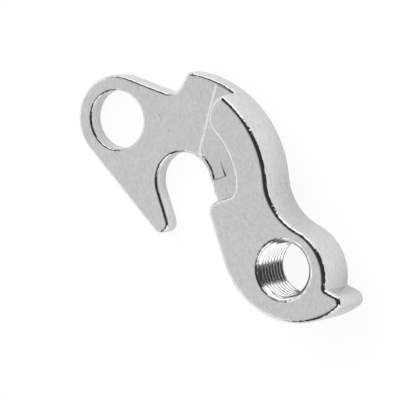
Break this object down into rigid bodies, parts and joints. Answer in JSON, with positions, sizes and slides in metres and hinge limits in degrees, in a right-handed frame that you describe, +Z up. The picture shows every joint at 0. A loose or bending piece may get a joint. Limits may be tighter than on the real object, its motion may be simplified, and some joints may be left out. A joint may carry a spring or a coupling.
{
  "type": "bicycle derailleur hanger",
  "caption": "Flat aluminium derailleur hanger with an axle slot, a round fixing eye, a raised curved arm with a threaded hole for the derailleur and a stop tab at its end.",
  "frame": {"origin": "centre of the wheel axle in the slot, on the flat back face that the hanger lies on", "axes": "+Z up out of the frame side, away from the back face; -Y out of the mouth of the axle slot; +X towards the arm that carries the derailleur"},
  "size_m": [0.0408, 0.0497, 0.0082],
  "materials": {
    "aluminium": "silver anodised over a fine blasted surface, tumbled edges"
  },
  "bodies": {
    "root": {"hanger": "aluminium"}
  },
  "joints": []
}
